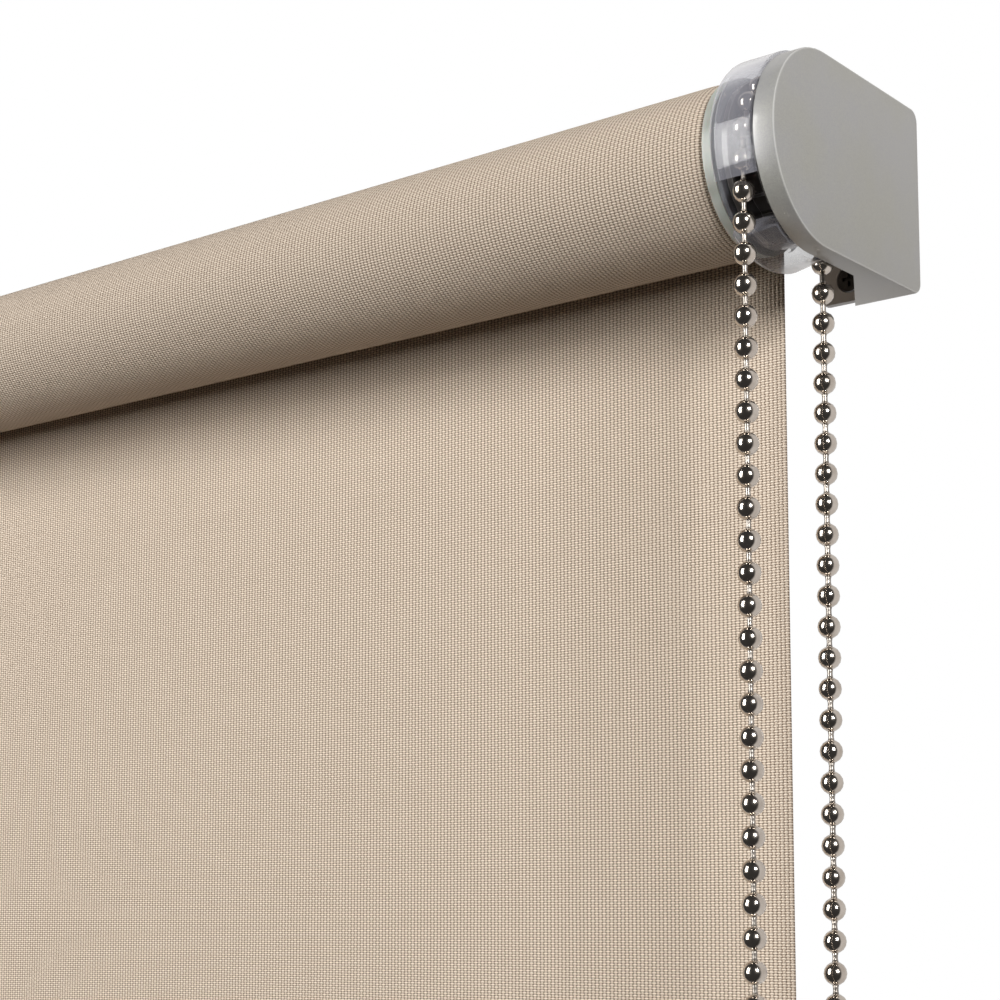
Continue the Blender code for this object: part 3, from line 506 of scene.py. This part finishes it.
weave, taken, given = new_group(
    "Plain weave",
    "ShaderNodeTree",
    {"Warp Pitch": ("Float", WARP_PITCH), "Weft Pitch": ("Float", WEFT_PITCH), "Unevenness": ("Float", 0.12)},
    {name: ("Float", None) for name in ("Height", "Gap", "Weft On Top", "Slub")},
)
place = add(weave, "ShaderNodeUVMap", uv_map="cloth").outputs[0]
wander = add(weave, "ShaderNodeTexNoise", {"Vector": place, "Scale": 160, "Detail": 2}).outputs["Color"]
wander = add(weave, "ShaderNodeVectorMath", {0: wander, 1: (0.5, 0.5, 0.5)}, operation="SUBTRACT").outputs[0]
wander = add(
    weave, "ShaderNodeVectorMath", {0: wander, "Scale": taken.outputs["Unevenness"]}, operation="SCALE"
).outputs[0]
across, down, _ = add(weave, "ShaderNodeSeparateXYZ", {0: place}).outputs
sway, lift, _ = add(weave, "ShaderNodeSeparateXYZ", {0: wander}).outputs
waves, slubs = [], []
for distance, pitch, shift, turned in (
    (across, "Warp Pitch", sway, (1, 0.02, 1)),
    (down, "Weft Pitch", lift, (0.02, 1, 1)),
):
    threads = calculate(weave, "DIVIDE", distance, taken.outputs[pitch])
    threads = calculate(weave, "ADD", threads, shift)
    waves.append(calculate(weave, "SINE", calculate(weave, "MULTIPLY", threads, math.pi)))
    along = add(weave, "ShaderNodeVectorMath", {0: place, 1: turned}, operation="MULTIPLY").outputs[0]
    slub = add(weave, "ShaderNodeTexNoise", {"Vector": along, "Scale": 1100, "Detail": 2}).outputs["Fac"]
    slubs.append(slub)
crossing = calculate(weave, "MULTIPLY", *waves)
warp_height = calculate(weave, "ADD", calculate(weave, "ABSOLUTE", waves[0]), crossing)
weft_height = calculate(weave, "SUBTRACT", calculate(weave, "ABSOLUTE", waves[1]), crossing)
height = calculate(weave, "MULTIPLY", calculate(weave, "MAXIMUM", warp_height, weft_height), 0.5)
weave.links.new(height, given.inputs["Height"])
weave.links.new(ramp(weave, height, 1, 0, 0.12, 0.66), given.inputs["Gap"])
weave.links.new(ramp(weave, crossing, 1, 0, -0.65, 0.20), given.inputs["Weft On Top"])
both = calculate(weave, "MULTIPLY", calculate(weave, "ADD", *slubs), 0.5)
weave.links.new(both, given.inputs["Slub"])

cloth, tree, shader = new_material(
    "Beige screen cloth", WEFT_COLOUR, 0.85, Sheen_Weight=0.04, Sheen_Roughness=0.5, Specular_IOR_Level=0.2
)
threads = add(tree, "ShaderNodeGroup", node_tree=weave)
threads.inputs["Warp Pitch"].default_value = WARP_PITCH
threads.inputs["Weft Pitch"].default_value = WEFT_PITCH
threads.inputs["Unevenness"].default_value = 0.16
yarn = blend_colours(tree, threads.outputs["Weft On Top"], WARP_COLOUR, WEFT_COLOUR)
uneven = ramp(tree, threads.outputs["Slub"], 0, 0.16, 0.35, 0.65)
yarn = blend_colours(tree, uneven, yarn, (0.58, 0.47, 0.37))
# Painted shade: the gaps between the threads are painted a dark brown, as the shade that falls in them.
woven = blend_colours(tree, threads.outputs["Gap"], yarn, GAP_SHADE_COLOUR)
_, down, _ = add(tree, "ShaderNodeSeparateXYZ", {0: add(tree, "ShaderNodeUVMap", uv_map="cloth").outputs[0]}).outputs
# Painted shade: the cloth on the roll is multiplied darker than the hanging sheet.
single = ramp(tree, down, WOUND_PAINTED_SHADE, 1, -1 * MM, 1 * MM)
toned = add(tree, "ShaderNodeVectorMath", {0: woven, "Scale": single}, operation="SCALE").outputs[0]
tree.links.new(toned, shader.inputs["Base Color"])
bump(tree, shader, threads.outputs["Height"], 0.26 * MM, 0.85)

wound_low, wound_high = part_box("wound_fabric")
hang_low, hang_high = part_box("hanging_fabric")
tube_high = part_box("roller_tube")[1]
tube_radius = tube_high.z
leaving_radius = (hang_low.y + hang_high.y) / 2 - axis_y
tracking = tube_high.x - END_GAP - wound_high.x


def spiral_radius(turn, side, edge):
    """A wrap's radius. Side is 1 outside and -1 inside, and edge goes from 0 to 1 at the cut edge."""
    radius = leaving_radius - WRAP_STEP * turn / math.tau + side * WOUND_THICKNESS / 2
    press = EDGE_PRESS * (1 - math.sqrt(1 - edge * edge))
    return tube_radius + (radius - tube_radius) * (1 - press)


def tracked(turn):
    """How far along the tube a wrap has wandered, from nothing where the cloth leaves the roll."""
    share = min(turn / (math.pi / 2), 1)
    return tracking * share * share * (3 - 2 * share)


edge_shares = [math.sin(math.pi / 2 * step / 6) for step in range(7)]
columns = [(wound_low.x + SOFT_EDGE * (1 - share), share) for share in reversed(edge_shares)]
columns += [(wound_high.x - SOFT_EDGE * (1 - share), share) for share in edge_shares]
shape = bmesh.new()
uv = shape.loops.layers.uv.new("cloth")
rings, distances = [], []
travelled = 0.0
for step in range(TURNS * STEPS_PER_TURN + 1):
    turn = math.tau * step / STEPS_PER_TURN
    ring = []
    for side in (1, -1):
        for x, edge in columns if side == 1 else reversed(columns):
            radius = spiral_radius(turn, side, edge)
            place = (x + tracked(turn), axis_y + radius * math.cos(turn), radius * math.sin(turn))
            ring.append(shape.verts.new(place))
    rings.append(ring)
    distances.append(-travelled)
    travelled += math.tau / STEPS_PER_TURN * spiral_radius(turn, 0, 0)


def set_cloth_uv(face, places):
    """Writes a cloth face's place on the flat cloth, in metres, to its UV map."""
    for corner, (across_at, down_at) in zip(face.loops, places):
        corner[uv].uv = (across_at, down_at)


for near, far, start, end in zip(rings, rings[1:], distances, distances[1:]):
    for here, after in zip(range(len(near)), [*range(1, len(near)), 0]):
        corners = (near[here], far[here], far[after], near[after])
        face = shape.faces.new(corners)
        face.smooth = True
        set_cloth_uv(face, [(corner.co.x, place) for corner, place in zip(corners, (start, end, end, start))])
for ring, place in ((rings[0], distances[0]), (rings[-1], distances[-1])):
    face = shape.faces.new(ring)
    set_cloth_uv(face, [(corner.co.x, place) for corner in ring])
bmesh.ops.recalc_face_normals(shape, faces=shape.faces)
wound = bpy.data.objects.new("cloth_on_tube", bpy.data.meshes.new("cloth_on_tube"))
shape.to_mesh(wound.data)
shape.free()
bpy.context.collection.objects.link(wound)
wound.data.materials.append(cloth)
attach(wound, "roller")
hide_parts("wound_fabric")


# ---------------------------------------------------------------- hanging cloth
# The same cloth, hanging from the back of the roll into the bottom bar's slot. The bar's weight
# keeps it flat, with only a faint belly across its width.
ACROSS, DOWN = 72, 60
BELLY = 0.12 * MM
shape = bmesh.new()
uv = shape.loops.layers.uv.new("cloth")
width = hang_high.x - hang_low.x
drop = hang_high.z - hang_low.z
grids = []
for y in (hang_low.y, hang_high.y):
    grid = []
    for row in range(DOWN + 1):
        z = hang_high.z - drop * row / DOWN
        belly = BELLY * math.sin(math.pi * row / DOWN)
        line = []
        for column in range(ACROSS + 1):
            share = column / ACROSS
            line.append(shape.verts.new((hang_low.x + width * share, y + belly * math.sin(3 * math.pi * share), z)))
        grid.append(line)
    grids.append(grid)
front, back = grids
for grid, turned in ((front, False), (back, True)):
    for upper, lower in zip(grid, grid[1:]):
        for left in range(ACROSS):
            corners = [upper[left], lower[left], lower[left + 1], upper[left + 1]]
            face = shape.faces.new(reversed(corners) if turned else corners)
            face.smooth = True
border = [(0, column) for column in range(ACROSS)] + [(row, ACROSS) for row in range(DOWN)]
border += [(DOWN, column) for column in range(ACROSS, 0, -1)] + [(row, 0) for row in range(DOWN, 0, -1)]
for (row, column), (next_row, next_column) in zip(border, border[1:] + border[:1]):
    shape.faces.new(
        (front[row][column], front[next_row][next_column], back[next_row][next_column], back[row][column])
    )
for face in shape.faces:
    set_cloth_uv(face, [(corner.vert.co.x, hang_high.z - corner.vert.co.z) for corner in face.loops])
bmesh.ops.recalc_face_normals(shape, faces=shape.faces)
sheet = bpy.data.objects.new("cloth_sheet", bpy.data.meshes.new("cloth_sheet"))
shape.to_mesh(sheet.data)
shape.free()
bpy.context.collection.objects.link(sheet)
sheet.data.materials.append(cloth)
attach(sheet, "brackets")
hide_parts("hanging_fabric")
lift = next(joint for joint in frame["joints"] if joint["name"] == "bottom_bar_lift")
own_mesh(sheet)


# ---------------------------------------------------------------- bottom bar
# An extruded aluminium bar that pulls the cloth straight, anodised in a natural silver, with the
# fine lines of its extrusion along it. A clear cord locks the cloth in its slot.
BAR_COLOUR = (0.50, 0.495, 0.48)
anodised, tree, shader = new_material("Silver anodised aluminium", BAR_COLOUR, 0.36, metallic=0.9)
fine = add_grain(tree, 0.25 * MM, patch=3 * MM, stretch=(0.02, 1, 1))
tree.links.new(
    blend_colours(
        tree, ramp(tree, fine.outputs["Height"], 0, 1), tuple(0.86 * c for c in BAR_COLOUR), (0.57, 0.565, 0.55)
    ),
    shader.inputs["Base Color"],
)
tree.links.new(ramp(tree, fine.outputs["Patches"], 0.30, 0.44), shader.inputs["Roughness"])
bump(tree, shader, fine.outputs["Height"], 0.015 * MM, 0.5)
coat(anodised, "bottom_bar")
cord_plastic, tree, shader = new_material("Clear cord", (0.72, 0.72, 0.70), 0.22, Transmission_Weight=0.6)
fine = add_grain(tree, 0.3 * MM, patch=6 * MM)
tree.links.new(ramp(tree, fine.outputs["Patches"], 0.16, 0.3), shader.inputs["Roughness"])
coat(cord_plastic, "bar_cord")
shade_round("bottom_bar", "bar_cord")


# ---------------------------------------------------------------- covers and bar caps
# Snap-on covers hide the brackets, and two caps close the bar's ends. They are moulded in ABS and
# sprayed with a satin silver lacquer whose flakes give a fine speckle.
LACQUER = (0.345, 0.340, 0.312)
LACQUER_COOL = (0.345, 0.343, 0.352)
lacquer, tree, shader = new_material(
    "Satin silver lacquer", LACQUER, 0.45, metallic=0.3, Coat_Weight=0.6, Coat_Roughness=0.12
)
fine = add_grain(tree, 0.24 * MM, patch=14 * MM)
flakes = add(
    tree,
    "ShaderNodeTexVoronoi",
    {"Vector": add(tree, "ShaderNodeTexCoord").outputs["Object"], "Scale": 1 / (0.22 * MM)},
)
tone = blend_colours(tree, ramp(tree, fine.outputs["Patches"], 0, 1, 0.35, 0.65), LACQUER, LACQUER_COOL)
flake_share = calculate(tree, "MULTIPLY", ramp(tree, flakes.outputs["Color"], 0, 1, 0.1, 0.9), 0.5)
speckled = blend_colours(tree, flake_share, tone, tuple(1.3 * c for c in LACQUER))
# Painted highlight: the rounded edge band, whose normal turns partly along the blind, is painted a near white.
sideways, _, _ = add(
    tree, "ShaderNodeSeparateXYZ", {0: add(tree, "ShaderNodeNewGeometry").outputs["Normal"]}
).outputs
sideways = calculate(tree, "ABSOLUTE", sideways)
corner = calculate(tree, "MULTIPLY", ramp(tree, sideways, 0, 1, 0.25, 0.5), ramp(tree, sideways, 1, 0, 0.85, 0.98))
tree.links.new(blend_colours(tree, corner, speckled, (0.90, 0.90, 0.88)), shader.inputs["Base Color"])
tree.links.new(ramp(tree, flakes.outputs["Color"], 0.38, 0.54, 0, 1), shader.inputs["Roughness"])
bump(tree, shader, fine.outputs["Height"], 0.06 * MM, 0.8)
coat(lacquer, "control_cover", "idle_cover", "bar_cap_left", "bar_cap_right")
shade_round("control_cover", "idle_cover", "bar_cap_left", "bar_cap_right")


# ---------------------------------------------------------------- floor
# A plain pale floor well below the blind.
FLOOR_BELOW = 0.42
deselect()
bpy.ops.mesh.primitive_plane_add(size=8, location=(cad_box[0][0] / 2, 0, cad_box[0][2] - FLOOR_BELOW))
floor = bpy.context.object
floor.name = "floor"
pale, tree, shader = new_material(
    "Pale floor", (0.80, 0.80, 0.79), 0.7, Emission_Color=(1, 1, 0.99, 1), Emission_Strength=0.55
)
fine = add_grain(tree, 2 * MM, patch=300 * MM)
tree.links.new(ramp(tree, fine.outputs["Patches"], 0.64, 0.76), shader.inputs["Roughness"])
floor.data.materials.append(pale)
floor.visible_glossy = False
floor.visible_diffuse = False


# ---------------------------------------------------------------- light
# A white studio: bright behind the blind and dim before it. A tall soft box stands in front on the
# left at about the blind's height, and a smaller one in front on the right, a little above. A third
# lights the back, and shows in nothing bright.
world = bpy.data.worlds.new("Studio")
bpy.context.scene.world = world
world.use_nodes = True
tree = world.node_tree
tree.nodes.clear()
way = add(tree, "ShaderNodeTexCoord").outputs["Generated"]
_, behind, _ = add(tree, "ShaderNodeSeparateXYZ", {0: way}).outputs
paths = add(tree, "ShaderNodeLightPath")
soft_glow = ramp(tree, behind, 0.04, 0.26, -0.30, 0.40)
mirror_glow = ramp(tree, behind, 0.045, 0.72, -0.12, 0.14)
glow = add(tree, "ShaderNodeMix", {0: paths.outputs["Is Glossy Ray"], 2: soft_glow, 3: mirror_glow}).outputs[0]
tint = blend_colours(tree, paths.outputs["Is Glossy Ray"], (1.0, 0.90, 0.80), (1.0, 0.97, 0.95))
studio = add(tree, "ShaderNodeBackground", {"Color": tint, "Strength": glow})
seen = add(tree, "ShaderNodeBackground", {"Color": (1, 1, 1, 1), "Strength": 1.0})
mixed = add(
    tree, "ShaderNodeMixShader", {0: paths.outputs["Is Camera Ray"], 1: studio.outputs[0], 2: seen.outputs[0]}
)
add(tree, "ShaderNodeOutputWorld", {"Surface": mixed.outputs[0]})
bpy.context.scene.view_settings.view_transform = "Standard"

lit = Vector((-0.12, axis_y, -0.12))
for name, direction, distance, width, tall, power, colour in (
    ("Left soft box", (-0.53, -0.80, 0.26), 1.3, 0.50, 1.0, 17.6, (1.0, 0.995, 0.975)),
    ("Right soft box", (0.82, -0.50, 0.33), 1.1, 0.30, 0.30, 9.2, (1.0, 1.0, 0.99)),
    ("Back soft box", (-0.25, 0.90, 0.30), 1.3, 1.0, 1.0, 7, (1.0, 1.0, 0.99)),
):
    towards = Vector(direction).normalized()
    deselect()
    bpy.ops.object.light_add(
        type="AREA", location=lit + towards * distance, rotation=towards.to_track_quat("Z", "Y").to_euler()
    )
    light = bpy.context.object
    light.name = name
    light.data.shape = "RECTANGLE"
    light.data.size = width
    light.data.size_y = tall
    light.data.energy = power
    light.data.color = colour
light.visible_glossy = False


# ---------------------------------------------------------------- camera
# It stands below and to the right of the control end and looks up along the roll.
bpy.ops.object.camera_add(
    location=(0.1995, -0.3730, -0.1453), rotation=(math.radians(96.678), 0, math.radians(38.486))
)
camera = bpy.context.object
camera.data.sensor_width = 36
camera.data.lens = 74.87
camera.data.shift_y = 0.18
camera.data.clip_start = 0.01
bpy.context.scene.camera = camera
